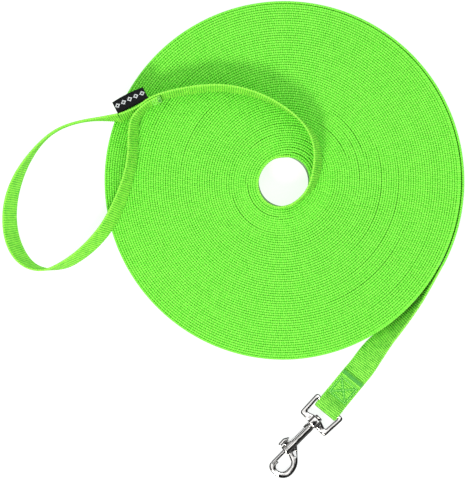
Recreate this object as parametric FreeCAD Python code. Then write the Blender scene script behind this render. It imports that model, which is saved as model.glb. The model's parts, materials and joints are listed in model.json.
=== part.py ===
import FreeCAD, Part
import math
import os

os.makedirs("parts", exist_ok=True)
V = FreeCAD.Vector
UP = V(0, 0, 1)

# A long training leash: one length of narrow webbing wound on edge into a flat coil, with a sewn hand
# loop on its inner end and a swivel bolt snap sewn to its outer end. Millimetres, floor at z = 0.

# Webbing
webbing_width = 19.0
webbing_thickness = 1.55
half_width = webbing_width / 2
half_thickness = webbing_thickness / 2
turn_pitch = 1.74
coil_outer_radius = 130.5
coil_centre = V(37.1, 42.1, 0)
hole_half_long = 20.3
hole_half_short = 17.9
hole_turn = 45.0
tail_angle = -28.0
rest_gap = 0.1

# Thread
stitch_pitch = 2.6
stitch_length = 2.0
thread = 0.5
thread_proud = 0.3

# The loop's seam, from the fourth point of the lead's route
seam_margin = 2.4
seam_length = 6.4
seam_height = 14.0

# Label
label_length = 24.5
label_leaf = 8.8
label_flange = 3.4
label_thickness = 0.5

# Sewn end and the eye that it holds, measured from the middle of the eye's bar
bar_middle = V(33.0, -164.2, 0)
sewn_end_angle = 230.5
axis_height = 3.75
fold_inner_radius = 2.2
fold_slack = 1.6
turnback_length = 34.0
ply_start = -3.0

# Swivel bolt snap: x runs along the shank towards the nose, y towards the hook's belly, z up
snap_angle = 225.0
bar_x = -22.2
bar_radius = 1.5
eye_rod = 3.3
eye_half_bar = 13.5
eye_half_foot = 12.7
eye_foot_x = -4.7
boss_size = 7.2
boss_x = -10.8
stem_radius = 1.82
stem_clearance = 0.08
head_radius = 2.9
head_gap = 0.25
bolt_y = -0.5
bolt_radius = 1.3
bolt_tip_x = 35.4
carriage_radius = 2.3
carriage_x = 14.6
carriage_length = 5.3
bore_radius = 2.45
shank_back_y = 3.05
shank_half_height = 3.7
shank_start_x = -1.8
shank_end_x = 23.0
rear_block_end_x = 1.0
front_block_x = 20.0
wall_edge_y = -0.7
hook_half_thickness = 2.5
spring_wire_radius = 0.225
spring_radius = 2.05
spring_turns = 9

# Free stretches of webbing, from the coil's centre: x, y, height of the lower edge, and lean in degrees.
# At lean 0 the webbing stands on edge, and a positive lean tips its top to the right of the way it runs.
LEAD_POINTS = [
    (-117.9, 45.4, 19.2, -16),
    (-109.5, 48.9, 19.2, -12),
    (-103.6, 52.6, 19.2, -8),
    (-97.6, 57.4, 19.2, -8),
    (-88.5, 60.9, 19.2, -12),
    (-75.1, 64.0, 19.2, -13),
    (-57.0, 66.9, 19.2, -13),
    (-37.7, 66.7, 19.2, -12),
    (-16.4, 61.2, 19.2, -8),
    (1.2, 51.9, 19.2, -3),
    (12.5, 43.2, 19.2, 3),
    (19.2, 35.4, 19.2, 10),
    (23.1, 26.9, 19.2, 15),
    (24.4, 18.0, 19.2, 17),
    (23.8, 9.2, 19.2, 18),
    (21.8, 0.9, 19.2, 16),
    (18.6, -6.6, 19.2, 12),
]
LOOP_POINTS = [
    (-117.9, 45.4, 19.2, 16),
    (-130.0, 44.6, 17.2, 5),
    (-142.9, 43.6, 13.6, 0),
    (-156.0, 40.6, 9.6, 0),
    (-167.4, 35.2, 6.0, 0),
    (-177.2, 26.6, 3.4, 2),
    (-186.2, 14.8, 1.4, 10),
    (-193.2, 1.6, 0.6, 19),
    (-197.9, -13.4, 0.2, 26),
    (-199.1, -28.7, 0.2, 29),
    (-196.8, -43.3, 0.2, 31),
    (-191.0, -54.9, 0.8, 27),
    (-182.6, -62.3, 2.4, 14),
    (-171.4, -64.7, 5.0, 1),
    (-158.8, -61.2, 8.4, -17),
    (-147.2, -53.9, 11.8, -22),
    (-136.7, -44.6, 15.4, -26),
    (-126.4, -32.0, 19.2, -27),
    (-117.4, -13.6, 19.2, -25),
    (-111.3, 4.6, 19.2, -21),
    (-108.9, 19.7, 19.2, -20),
    (-108.6, 33.6, 19.2, -20),
    (-107.8, 43.2, 19.2, -18),
    (-103.2, 50.2, 19.2, -12),
    (-97.0, 55.9, 19.2, -8),
    (-88.6, 59.1, 19.2, -11),
]
TAIL_POINTS = [
    (114.5, -60.9, 0.0, 0),
    (101.4, -83.3, 0.0, -6),
    (90.8, -96.0, 0.0, -18),
    (82.3, -105.1, 0.0, -30),
    (73.8, -113.4, 0.1, -44),
    (64.7, -123.8, 0.15, -68),
    (56.9, -135.4, 0.15, -83),
    (51.2, -142.1, 0.0, -90),
    (43.5, -151.45, 0.0, -90),
    (34.91, -161.88, 0.0, -90),
]
ARC_STEPS = 4
ARC_SHARE = 0.45


def save(name, shape):
    """Puts a shape that is drawn from the coil's centre into the part's frame and writes it."""
    placed = shape.copy()
    placed.translate(coil_centre)
    print(f"{name}: {len(placed.Solids)} solid(s), {placed.Volume:.1f} mm3, valid {placed.isValid()}")
    placed.exportStep(f"parts/{name}.step")


def box_at(x, y, z):
    """A box between two limits on each axis."""
    box = Part.makeBox(x[1] - x[0], y[1] - y[0], z[1] - z[0])
    box.translate(V(x[0], y[0], z[0]))
    return box


def rod_along_x(radius, x_from, x_to, y=0.0):
    return Part.makeCylinder(radius, x_to - x_from, V(x_from, y, 0), V(1, 0, 0))


def wire_through(steps):
    """A closed wire. Each step is (point,) for a straight edge to it or (via, point) for an arc."""
    start = steps[-1][-1]
    edges = []
    for step in steps:
        end = step[-1]
        if len(step) == 1:
            edges.append(Part.LineSegment(start, end).toShape())
        else:
            edges.append(Part.Arc(start, step[0], end).toShape())
        start = end
    return Part.Wire(edges)


def slab(steps, half_height):
    """A flat piece with that outline, as thick above its middle plane as below it."""
    piece = Part.Face(wire_through(steps)).extrude(UP * (2 * half_height))
    piece.translate(V(0, 0, -half_height))
    return piece


def flat(x, y):
    return V(x, y, 0)


def outline(corners):
    """Steps of a flat closed outline from its corners (x, y, rounding radius)."""
    steps = []
    for before, corner, after in zip(corners[-1:] + corners[:-1], corners, corners[1:] + corners[:1]):
        place = flat(corner[0], corner[1])
        if corner[2] == 0:
            steps.append((place,))
            continue
        way_in = V(place - flat(before[0], before[1])).normalize()
        way_out = V(flat(after[0], after[1]) - place).normalize()
        half_turn = way_in.getAngle(way_out) / 2
        reach = corner[2] * math.tan(half_turn)
        inward = V(way_out - way_in).normalize()
        middle = place + inward * (corner[2] / math.cos(half_turn) - corner[2])
        steps.append((place - way_in * reach,))
        steps.append((middle, place + way_out * reach))
    return steps


# ---------------------------------------------------------------- webbing


def stations(points):
    """Route points with their middle line's height worked out from the lower edge and the lean."""
    found = []
    for x, y, low, lean in points:
        tip = math.radians(abs(lean))
        middle = low + half_width * math.cos(tip) + half_thickness * math.sin(tip)
        found.append((V(x, y, middle), lean))
    return found


def corner_arc(before, corner, after):
    """The tangent arc at a corner: its centre, axis, first point, whole turn and radius."""
    run_in = corner - before
    run_out = after - corner
    reach = ARC_SHARE * min(run_in.Length, run_out.Length)
    way_in = V(run_in).normalize()
    way_out = V(run_out).normalize()
    turn = way_in.getAngle(way_out)
    radius = reach / math.tan(turn / 2)
    first = corner - way_in * reach
    inward = V(way_out - way_in).normalize()
    centre = corner + inward * math.hypot(reach, radius)
    axis = V(way_in.cross(way_out)).normalize()
    return centre, axis, first, way_in, turn, radius


def rounded(route):
    """The route as straight runs and tangent arcs: (place, direction, lean) at each section."""
    sections = [(route[0][0], V(route[1][0] - route[0][0]).normalize(), route[0][1])]
    radii = []
    for (before, lean_before), (corner, lean), (after, lean_after) in zip(route, route[1:], route[2:]):
        centre, axis, first, way_in, turn, radius = corner_arc(before, corner, after)
        radii.append(radius)
        reach = (corner - first).Length
        lean_first = lean + (lean_before - lean) * reach / (corner - before).Length
        lean_last = lean + (lean_after - lean) * reach / (after - corner).Length
        for step in range(ARC_STEPS + 1):
            share = step / ARC_STEPS
            spin = FreeCAD.Rotation(axis, math.degrees(turn) * share)
            place = centre + spin.multVec(first - centre)
            sections.append((place, spin.multVec(way_in), lean_first + (lean_last - lean_first) * share))
    last_way = V(route[-1][0] - route[-2][0]).normalize()
    sections.append((route[-1][0], last_way, route[-1][1]))
    return sections, radii


def across(way, lean):
    """The direction of the webbing's width where it runs along way with that lean."""
    right = V(way.cross(UP)).normalize()
    upright = right.cross(way)
    tip = math.radians(lean)
    return upright * math.cos(tip) + right * math.sin(tip)


def webbing(name, route):
    """A plain solid of webbing along a route, with its bend radii and its volume against its length."""
    sections, radii = rounded(route)
    outlines = []
    for place, way, lean in sections:
        wide = across(way, lean) * half_width
        thick = V(way.cross(wide)).normalize() * half_thickness
        corners = [place + wide + thick, place + wide - thick, place - wide - thick, place - wide + thick]
        outlines.append(Part.makePolygon(corners + corners[:1]))
    solid = Part.makeLoft(outlines, True, True)
    length = sum((b[0] - a[0]).Length for a, b in zip(sections, sections[1:]))
    print(f"{name}: length {length:.1f}, bend radii", " ".join(f"{r:.0f}" for r in radii))
    print(f"{name}: volume over section times length", round(
        solid.Volume / (length * webbing_width * webbing_thickness), 4))
    return solid


def hole_radius(angle, inset):
    """Distance from the coil's centre to its oval hole's wall, less an inset, at that angle."""
    long_half = hole_half_long - inset
    short_half = hole_half_short - inset
    from_long = math.radians(angle - hole_turn)
    return long_half * short_half / math.hypot(
        short_half * math.cos(from_long), long_half * math.sin(from_long))


def webbing_coil():
    """The wound length: a disc whose rim is one turn of the spiral, with an oval hole."""
    steps = []
    for quarter in range(4):
        points = []
        for turned in (quarter + 0.5, quarter + 1.0):
            angle = math.radians(tail_angle - 90 * turned)
            radius = coil_outer_radius - turn_pitch * (1 - turned / 4)
            points.append(flat(radius * math.cos(angle), radius * math.sin(angle)))
        steps.append(tuple(points))
    leaving = math.radians(tail_angle)
    inner_rim = coil_outer_radius - turn_pitch
    steps.insert(0, (flat(inner_rim * math.cos(leaving), inner_rim * math.sin(leaving)),))
    disc = Part.Face(wire_through(steps)).extrude(UP * webbing_width)
    hole = Part.Ellipse(V(0, 0, 0), hole_half_long, hole_half_short).toShape()
    hole.rotate(V(0, 0, 0), UP, hole_turn)
    return disc.cut(Part.Face(Part.Wire(hole)).extrude(UP * webbing_width))


def lead_stations():
    """The hand end's lead over the coil, and the turn by which it goes down into the hole."""
    points = list(LEAD_POINTS)
    inset = half_thickness + rest_gap
    first_angle, last_angle, step = -45, -285, -30
    top = LEAD_POINTS[-1][2]
    for angle in range(first_angle, last_angle + step, step):
        radius = hole_radius(angle, inset)
        down = min(1.0, max(0.0, (angle - first_angle + 15) / (last_angle - first_angle + 15)))
        lean = 6 if angle == first_angle else 0
        turn = math.radians(angle)
        points.append((radius * math.cos(turn), radius * math.sin(turn), top * (1 - down), lean))
    return stations(points)


# ---------------------------------------------------------------- sewing


def stitch(start, along, out, depth):
    """One stitch: thread lying on the cloth, with a leg down through the plies at each end."""
    rise = out * thread_proud
    sink = out * -depth
    leg = along * thread
    end = start + along * stitch_length
    corners = [
        start + rise, end + rise, end + sink, end - leg + sink,
        end - leg, start + leg, start + leg + sink, start + sink,
    ]
    face = Part.Face(Part.makePolygon(corners + corners[:1]))
    sideways = V(along.cross(out)).normalize() * thread
    piece = face.extrude(sideways)
    piece.translate(sideways * -0.5)
    return piece


def stitch_line(start, end, out, depth):
    """Stitches evenly spaced between two points of a seam."""
    run = end - start
    count = max(1, round(run.Length / stitch_pitch))
    along = V(run).normalize()
    spacing = run.Length / count
    first = (spacing - stitch_length) / 2
    return [stitch(start + along * (first + spacing * i), along, out, depth) for i in range(count)]


def box_and_cross(corner, along, side, out, depth):
    """A sewn rectangle from one corner, with both of its diagonals."""
    a = corner
    b = corner + along
    c = corner + along + side
    d = corner + side
    inset = 0.06
    lines = [
        (a, b), (b, c), (c, d), (d, a),
        (a + (c - a) * inset, c - (c - a) * inset), (b + (d - b) * inset, d - (d - b) * inset),
    ]
    pieces = []
    for first, last in lines:
        pieces += stitch_line(first, last, out, depth)
    return Part.makeCompound(pieces)


def strip(points, thickness, width_vector):
    """A bent flat strip: a rounded line drawn in its own plane, given thickness and then width."""
    out_of_plane = V(width_vector).normalize()
    half = thickness / 2
    sides = {1: [], -1: []}
    start = points[0]
    way = V(points[1] - points[0]).normalize()
    for side in sides:
        sides[side].append((None, start + out_of_plane.cross(way) * (half * side)))
    for before, corner, after in zip(points, points[1:], points[2:]):
        centre, axis, first, way_in, turn, _ = corner_arc(before, corner, after)
        for side, edges in sides.items():
            spots = []
            for share in (0.0, 0.5, 1.0):
                spin = FreeCAD.Rotation(axis, math.degrees(turn) * share)
                place = centre + spin.multVec(first - centre)
                spots.append(place + out_of_plane.cross(spin.multVec(way_in)) * (half * side))
            edges.append((None, spots[0]))
            edges.append((spots[1], spots[2]))
    way = V(points[-1] - points[-2]).normalize()
    for side, edges in sides.items():
        edges.append((None, points[-1] + out_of_plane.cross(way) * (half * side)))
    forward, back = sides[1], sides[-1]
    steps = [(place,) if via is None else (via, place) for via, place in forward[1:]]
    steps.append((back[-1][1],))
    for (via, _), (_, place) in zip(reversed(back), reversed(back[:-1])):
        steps.append((place,) if via is None else (via, place))
    steps.append((forward[0][1],))
    return Part.Face(wire_through(steps)).extrude(width_vector)


def loop_stitching():
    """Box of stitches through both plies where the hand loop comes back to the lead."""
    start, end = (place for place, _ in stations(LEAD_POINTS)[3:5])
    way = V(end - start).normalize()
    wide = across(way, (LEAD_POINTS[3][3] + LEAD_POINTS[4][3]) / 2)
    right = V(way.cross(wide)).normalize()
    surface = half_thickness + rest_gap + webbing_thickness
    low_corner = start + way * seam_margin - wide * (seam_height / 2) + right * surface
    return box_and_cross(low_corner, way * seam_length, wide * seam_height, right, 2 * webbing_thickness)


def loop_label():
    """A blank folded label: a flange on the lead's outer face, and a leaf bent out flat from it."""
    origin, seam = (place for place, _ in stations(LEAD_POINTS)[:3:2])
    way = V(seam.x - origin.x, seam.y - origin.y, 0).normalize()
    outward = UP.cross(way)
    wide = across(way, LEAD_POINTS[0][3])
    face_normal = V(wide.cross(way)).normalize()
    off_face = face_normal * (half_thickness + label_thickness / 2 + 0.05)
    bend = origin + wide * (half_width + 0.6) + off_face
    profile = [
        origin + wide * (half_width - label_flange) + off_face,
        bend,
        bend + outward * label_leaf - UP * 0.5,
    ]
    return strip(profile, label_thickness, way * label_length)


def sewn_end():
    """Directions of the sewn end: towards the snap, and across the webbing."""
    turn = math.radians(sewn_end_angle)
    towards = V(math.cos(turn), math.sin(turn), 0)
    return towards, V(-towards.y, towards.x, 0)


def turnback():
    """The webbing's end: round the eye's bar, then back flat along the tail as a second ply."""
    towards, side = sewn_end()
    outer_radius = fold_inner_radius + webbing_thickness
    fold_height = 2 * outer_radius
    width = side * webbing_width
    ply_height = webbing_thickness * 1.5 + 0.05
    cut_end = outer_radius + fold_slack - turnback_length

    def at(along, height):
        return bar_middle + towards * along + UP * height - side * half_width

    bend = Part.Face(wire_through([
        (at(ply_start, 0),),
        (at(fold_slack, 0),),
        (at(fold_slack + outer_radius, outer_radius), at(fold_slack, fold_height)),
        (at(fold_slack, fold_height - webbing_thickness),),
        (at(fold_slack + fold_inner_radius, outer_radius), at(fold_slack, webbing_thickness)),
        (at(ply_start, webbing_thickness),),
    ])).extrude(width)
    top_height = fold_height - half_thickness
    top = strip([at(fold_slack, top_height), at(-1.8, top_height), at(-8.4, ply_height),
                 at(cut_end, ply_height)], webbing_thickness, width)
    return top.fuse(bend).removeSplitter()


def turnback_stitching():
    """Box with a cross, through the turned-back ply and the tail under it."""
    towards, side = sewn_end()
    fold_end = fold_inner_radius + webbing_thickness + fold_slack
    surface = webbing_thickness * 2 + 0.05
    far_line, near_line, half_box = 28.4, 14.6, 7.2
    corner = bar_middle + towards * (fold_end - far_line) - side * half_box + UP * surface
    return box_and_cross(corner, towards * (far_line - near_line), side * (2 * half_box), UP,
                         2 * webbing_thickness)


# ---------------------------------------------------------------- swivel bolt snap


def snap_save(name, shape):
    """Turns a snap piece from the snap's own frame to where the snap lies, and writes it."""
    placed = shape.copy()
    turn = math.radians(snap_angle)
    placed.rotate(V(0, 0, 0), UP, snap_angle)
    reach = V(math.cos(turn), math.sin(turn), 0) * -bar_x
    placed.translate(bar_middle + reach + UP * axis_height)
    save(name, placed)


def softened(shape, edges, radius):
    """The shape with those edges rounded."""
    return shape.makeFillet(radius, edges)


def rims(shape, half_height):
    """The edges round a flat piece's top and bottom faces."""
    return [e for e in shape.Edges if abs(abs(e.CenterOfMass.z) - half_height) < 0.01]


def swivel_eye():
    """The webbing eye: a round bar and two legs on an arched foot, with a faceted boss bored for the stem."""
    far = bar_x - bar_radius
    near = bar_x + bar_radius
    inner_bar = eye_half_bar - eye_rod
    inner_foot = eye_half_foot - eye_rod
    foot_inner_x = eye_foot_x - 4.0
    frame = slab(outline([
        (far, eye_half_bar, 2.0), (eye_foot_x, eye_half_foot, 2.2),
        (eye_foot_x, -eye_half_foot, 2.2), (far, -eye_half_bar, 2.0),
    ]), bar_radius)
    opening = slab(outline([
        (near, inner_bar, 0.8), (foot_inner_x, inner_foot, 1.0), (boss_x - 1.2, 0, 8.0),
        (foot_inner_x, -inner_foot, 1.0), (near, -inner_bar, 0.8),
    ]), bar_radius + 1)
    frame = frame.cut(opening)
    frame = softened(frame, rims(frame, bar_radius), 1.25)
    bar_gap = box_at((far - 1, near), (-inner_bar, inner_bar), (-bar_radius - 1, bar_radius + 1))
    bar = Part.makeCylinder(bar_radius, 2 * inner_bar + 2, V(bar_x, -inner_bar - 1, 0), V(0, 1, 0))
    frame = frame.cut(bar_gap).fuse(bar)
    half = boss_size / 2
    boss = box_at((boss_x, boss_x + boss_size), (-half, half), (-half, half))
    boss = boss.makeChamfer(1.1, boss.Edges)
    bore = rod_along_x(stem_radius + stem_clearance, boss_x - 5, boss_x + boss_size + 5)
    head_recess = rod_along_x(head_radius + head_gap, boss_x - 5, boss_x)
    return frame.fuse(boss).cut(bore.fuse(head_recess))


def shank():
    """The snap's shank: an open trough between a closed rear block and a bored front block."""
    length = shank_end_x - shank_start_x
    corner = 2.4
    back = box_at((shank_start_x, shank_end_x), (wall_edge_y, shank_back_y),
                  (-shank_half_height, shank_half_height))
    rounded_edges = [
        e for e in back.Edges
        if abs(e.CenterOfMass.y - shank_back_y) < 0.01 and e.Length > length - 0.1
    ]
    back = softened(back, rounded_edges, corner)
    bore = rod_along_x(bore_radius, rear_block_end_x, front_block_x, bolt_y)
    open_side = box_at((rear_block_end_x, front_block_x), (bolt_y - 6, bolt_y), (-bore_radius, bore_radius))
    trough = back.cut(bore.fuse(open_side))
    block_radius = 3.3
    rear = rod_along_x(block_radius, shank_start_x, rear_block_end_x, -0.1)
    front = rod_along_x(block_radius, front_block_x, shank_end_x, bolt_y)
    collar = rod_along_x(3.0, -3.3, shank_start_x)
    bolt_way = rod_along_x(bolt_radius + 0.1, front_block_x - 1, shank_end_x + 1, bolt_y)
    return trough.fuse([rear, front, collar]).cut(bolt_way)


def hook():
    """The open hook with its brace window. Its nose holds a ledge that the bolt's tip closes onto."""
    ledge_y = bolt_y + bolt_radius + 0.15
    nose_x = bolt_tip_x + 0.2
    bar = slab(outline([
        (12.8, 2.0, 0), (24.9, 15.2, 14.0), (40.2, 15.2, 8.8), (40.2, 0.6, 4.5), (37.2, -1.5, 0),
        (nose_x, -1.5, 0), (nose_x, ledge_y, 0), (31.9, ledge_y, 0), (31.9, 2.2, 0),
        (36.5, 2.2, 3.0), (36.5, 10.5, 5.0), (25.9, 10.5, 5.0), (22.4, 2.5, 0),
    ]), hook_half_thickness)
    tight = [e for e in rims(bar, hook_half_thickness) if e.CenterOfMass.y > 2.6]
    window = slab(outline([(16.4, 4.2, 0.8), (19.7, 4.2, 0.8), (21.4, 10.9, 0.7)]), hook_half_thickness + 1)
    return softened(bar, tight, 1.2).cut(window)


def snap_body():
    stem_way = rod_along_x(stem_radius, -4.0, -0.8)
    return shank().fuse(hook()).cut(stem_way)


def swivel_rivet():
    """Headed pin through the eye's boss, fast in the snap's rear block."""
    head_face = boss_x - head_gap
    pin = rod_along_x(stem_radius, head_face - 0.5, -0.8)
    head = rod_along_x(head_radius, head_face - 1.3, head_face)
    rim = [e for e in head.Edges if e.CenterOfMass.x < head_face - 1.2 and e.Length > 10]
    return pin.fuse(softened(head, rim, 0.9))


def snap_bolt():
    """The sliding bolt: a round rod with a wider carriage, and a spigot that the spring sits on."""
    rod = rod_along_x(bolt_radius, carriage_x - 2.4, bolt_tip_x, bolt_y)
    tip = [e for e in rod.Edges if e.CenterOfMass.x > bolt_tip_x - 0.1 and e.Length > 6]
    rod = softened(rod, tip, 0.6)
    carriage = rod_along_x(carriage_radius, carriage_x, carriage_x + carriage_length, bolt_y)
    return rod.fuse(carriage)


def thumb_knob():
    """Thumb piece on the bolt's carriage: a ramped cap on a short stem."""
    half = 3.5
    knob_under_y = -4.9
    cap = slab(outline([
        (13.8, knob_under_y, 0), (14.2, -5.6, 0), (17.4, -7.4, 2.0), (22.9, -7.2, 1.0), (22.9, knob_under_y, 0),
    ]), half)
    upper = [e for e in rims(cap, half) if e.CenterOfMass.y < knob_under_y - 0.1]
    cap = softened(cap, upper, 0.8)
    carriage_top = bolt_y - carriage_radius
    stem = box_at((15.4, 19.6), (knob_under_y - 0.3, carriage_top + 0.5), (-1.3, 1.3))
    return cap.fuse(stem)


def bolt_spring():
    """Compression spring between the rear block and the bolt's carriage, with a faceted wire."""
    clear = 0.15
    start = rear_block_end_x + spring_wire_radius + clear
    end = carriage_x - spring_wire_radius - clear
    steps_per_turn, wire_sides = 14, 6
    steps = spring_turns * steps_per_turn
    outlines = []
    for step in range(steps + 1):
        turn = 2 * math.pi * step / steps_per_turn
        out = V(0, math.cos(turn), math.sin(turn))
        middle = V(start + (end - start) * step / steps, bolt_y, 0) + out * spring_radius
        corners = []
        for side in range(wire_sides):
            round_wire = 2 * math.pi * side / wire_sides
            offset = out * math.cos(round_wire) + V(1, 0, 0) * math.sin(round_wire)
            corners.append(middle + offset * spring_wire_radius)
        outlines.append(Part.makePolygon(corners + corners[:1]))
    return Part.makeLoft(outlines, True, True)


save("webbing_coil", webbing_coil())
save("handle_lead", webbing("handle_lead", lead_stations()))
save("handle_loop", webbing("handle_loop", stations(LOOP_POINTS)))
save("loop_stitching", loop_stitching())
save("loop_label", loop_label())
save("tail_strap", webbing("tail_strap", stations(TAIL_POINTS)))
save("turnback_ply", turnback())
save("turnback_stitching", turnback_stitching())
snap_save("swivel_eye", swivel_eye())
snap_save("swivel_rivet", swivel_rivet())
snap_save("snap_body", snap_body())
snap_save("snap_bolt", snap_bolt())
snap_save("thumb_knob", thumb_knob())
snap_save("bolt_spring", bolt_spring())
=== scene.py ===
import json
import math
from collections import namedtuple

import bpy
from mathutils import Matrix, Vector, noise

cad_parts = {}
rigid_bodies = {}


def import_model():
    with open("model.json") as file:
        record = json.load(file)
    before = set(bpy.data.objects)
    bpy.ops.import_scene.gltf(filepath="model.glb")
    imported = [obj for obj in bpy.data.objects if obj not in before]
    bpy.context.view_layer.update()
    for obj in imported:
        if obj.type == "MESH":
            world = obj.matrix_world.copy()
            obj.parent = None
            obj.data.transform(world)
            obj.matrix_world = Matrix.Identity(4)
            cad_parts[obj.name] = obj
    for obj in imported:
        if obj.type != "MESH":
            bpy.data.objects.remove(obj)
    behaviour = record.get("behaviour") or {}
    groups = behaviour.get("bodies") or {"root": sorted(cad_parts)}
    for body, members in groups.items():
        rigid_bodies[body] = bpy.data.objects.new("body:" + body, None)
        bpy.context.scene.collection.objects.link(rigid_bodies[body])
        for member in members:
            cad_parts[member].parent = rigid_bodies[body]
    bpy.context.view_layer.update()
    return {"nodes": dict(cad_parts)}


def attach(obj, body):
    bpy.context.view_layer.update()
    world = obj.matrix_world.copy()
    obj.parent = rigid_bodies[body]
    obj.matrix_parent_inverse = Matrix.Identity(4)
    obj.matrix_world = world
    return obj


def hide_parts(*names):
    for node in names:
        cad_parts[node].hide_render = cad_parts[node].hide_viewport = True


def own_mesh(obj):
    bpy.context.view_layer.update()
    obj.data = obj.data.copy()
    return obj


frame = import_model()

# The leash lies flat, seen from straight above. Metres. The coil's middle is the centre that the route
# points are measured from.
UP = Vector((0, 0, 1))
COIL = Vector((0.0371, 0.0421, 0))
WIDTH = 0.019
HALF_WIDTH = WIDTH / 2
HALF_THICK = 0.00075
CAD_HALF_THICK = 0.000775
RIB = 0.00166

# Middle lines of the free webbing: x, y from the coil's middle, height of the lower edge (all in mm, turned
# to metres below) and lean in degrees.
LEAD = [
    (-117.9, 45.4, 19.2, -16), (-109.5, 48.9, 19.2, -12), (-103.6, 52.6, 19.2, -8),
    (-97.6, 57.4, 19.2, -8), (-88.5, 60.9, 19.2, -12),
    (-75.1, 64.0, 19.2, -13), (-57.0, 66.9, 19.2, -13), (-37.7, 66.7, 19.2, -12),
    (-16.4, 61.2, 19.2, -8), (1.2, 51.9, 19.2, -3), (12.5, 43.2, 19.2, 3), (19.2, 35.4, 19.2, 10),
    (23.1, 26.9, 19.2, 15), (24.4, 18.0, 19.2, 17), (23.8, 9.2, 19.2, 18), (21.8, 0.9, 19.2, 16),
    (18.6, -6.6, 17.0, 12), (13.0, -13.1, 12.0, 8), (4.9, -18.3, 6.4, 4), (-5.2, -19.5, 2.4, 0),
    (-14.7, -14.8, 0.5, 0), (-19.5, -5.2, 0.0, 0), (-18.3, 4.9, 0.0, 0), (-13.0, 13.0, 0.0, 0),
    (-4.9, 18.4, 0.0, 0), (4.85, 18.1, 0.0, 0),
]
LOOP = [
    (-117.9, 45.4, 19.2, 16), (-130.0, 44.6, 17.2, 5), (-142.9, 43.6, 13.6, 0), (-156.0, 40.6, 9.6, 0),
    (-167.4, 35.2, 6.0, 0), (-177.2, 26.6, 3.4, 2), (-186.2, 14.8, 1.4, 10), (-193.2, 1.6, 0.6, 19),
    (-197.9, -13.4, 0.2, 26), (-199.1, -28.7, 0.2, 29), (-196.8, -43.3, 0.2, 31), (-191.0, -54.9, 0.8, 27),
    (-182.6, -62.3, 2.4, 14), (-171.4, -64.7, 5.0, 1), (-158.8, -61.2, 8.4, -17), (-147.2, -53.9, 11.8, -22),
    (-136.7, -44.6, 15.4, -26), (-126.4, -32.0, 19.2, -27), (-117.4, -13.6, 19.2, -25),
    (-111.3, 4.6, 19.2, -21), (-108.9, 19.7, 19.2, -20), (-108.6, 33.6, 19.2, -20),
    (-107.8, 43.2, 19.2, -18), (-103.2, 50.2, 19.2, -12), (-97.0, 55.9, 19.2, -8),
    (-88.6, 59.1, 19.2, -11),
]
TAIL = [
    (114.5, -60.9, 0.0, 0), (101.4, -83.3, 0.0, -6), (90.8, -96.0, 0.0, -18), (82.3, -105.1, 0.0, -30),
    (73.8, -113.4, 0.1, -44), (64.7, -123.8, 0.15, -68), (56.9, -135.4, 0.15, -83),
    (51.2, -142.1, 0.0, -90), (43.5, -151.45, 0.0, -90), (34.91, -161.88, 0.0, -90),
]

# The coil: half lengths of its oval hole, the middle line of its outer turn, where its ends lie
HOLE_LONG = 0.0203
HOLE_SHORT = 0.0179
HOLE_TURN = 45
OUTER_MIDDLE = 0.1305 - CAD_HALF_THICK
LEAD_INSET = CAD_HALF_THICK + 0.0001
START_ANGLE = -285
END_ANGLE = -28
WHOLE_TURNS = 64

# The snap: x runs along its shank towards the nose, y towards the hook's belly.
BAR = COIL + Vector((0.0330, -0.1642, 0))
SNAP_TURN = math.radians(225)
SNAP_X = Vector((math.cos(SNAP_TURN), math.sin(SNAP_TURN), 0))
SNAP_Y = Vector((-SNAP_X.y, SNAP_X.x, 0))
SNAP_ZERO = BAR + SNAP_X * 0.0222 + UP * 0.00375
SHANK_LENGTH = 0.023
# How wide the edges of the snap's casting are polished over
SHANK_EDGE = 0.0011
HOOK_EDGE = 0.0025


# ---------------------------------------------------------------- meshes


def add_mesh(name, points, faces, smooth=True):
    mesh = bpy.data.meshes.new(name)
    mesh.from_pydata(points, [], faces)
    mesh.update()
    if smooth:
        mesh.shade_smooth()
    piece = bpy.data.objects.new(name, mesh)
    bpy.context.scene.collection.objects.link(piece)
    return piece


def skin(count, ring, first=0, flipped=False):
    """Faces round a row of sections that have ring points each, with one face at either end."""
    faces = []
    for i in range(count - 1):
        for j in range(ring):
            a = first + i * ring + j
            b = first + i * ring + (j + 1) % ring
            faces.append((a, a + ring, b + ring, b) if flipped else (a, b, b + ring, a + ring))
    start = list(range(first, first + ring))
    end = [corner + (count - 1) * ring for corner in start]
    faces.append(tuple(start if flipped else reversed(start)))
    faces.append(tuple(reversed(end) if flipped else end))
    return faces


def hole_radius(angle, inset):
    """Distance from the coil's middle to the wall of its oval hole, less an inset, at an angle in degrees."""
    long_half = HOLE_LONG - inset
    short_half = HOLE_SHORT - inset
    turned = math.radians(angle - HOLE_TURN)
    return long_half * short_half / math.hypot(short_half * math.cos(turned), long_half * math.sin(turned))


def stations(rows):
    """Route points in metres with the height of the middle line, as (place, lean)."""
    found = []
    for x, y, low, lean in rows:
        tip = math.radians(abs(lean))
        middle = low / 1000 + HALF_WIDTH * math.cos(tip) + CAD_HALF_THICK * math.sin(tip)
        found.append((COIL + Vector((x / 1000, y / 1000, middle)), lean))
    return found


def spline_line(points):
    """Points read from a NURBS spline through these control points."""
    curve = bpy.data.curves.new("route", "CURVE")
    curve.dimensions = "3D"
    spline = curve.splines.new("NURBS")
    spline.points.add(len(points) - 1)
    for place, point in zip(spline.points, points):
        place.co = (*point, 1)
    spline.order_u = 3
    spline.use_endpoint_u = True
    spline.resolution_u = 48
    holder = bpy.data.objects.new("route", curve)
    bpy.context.scene.collection.objects.link(holder)
    bpy.context.view_layer.update()
    line = bpy.data.meshes.new_from_object(holder.evaluated_get(bpy.context.evaluated_depsgraph_get()))
    found = [v.co.copy() for v in line.vertices]
    bpy.data.objects.remove(holder)
    bpy.data.curves.remove(curve)
    bpy.data.meshes.remove(line)
    return found


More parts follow.
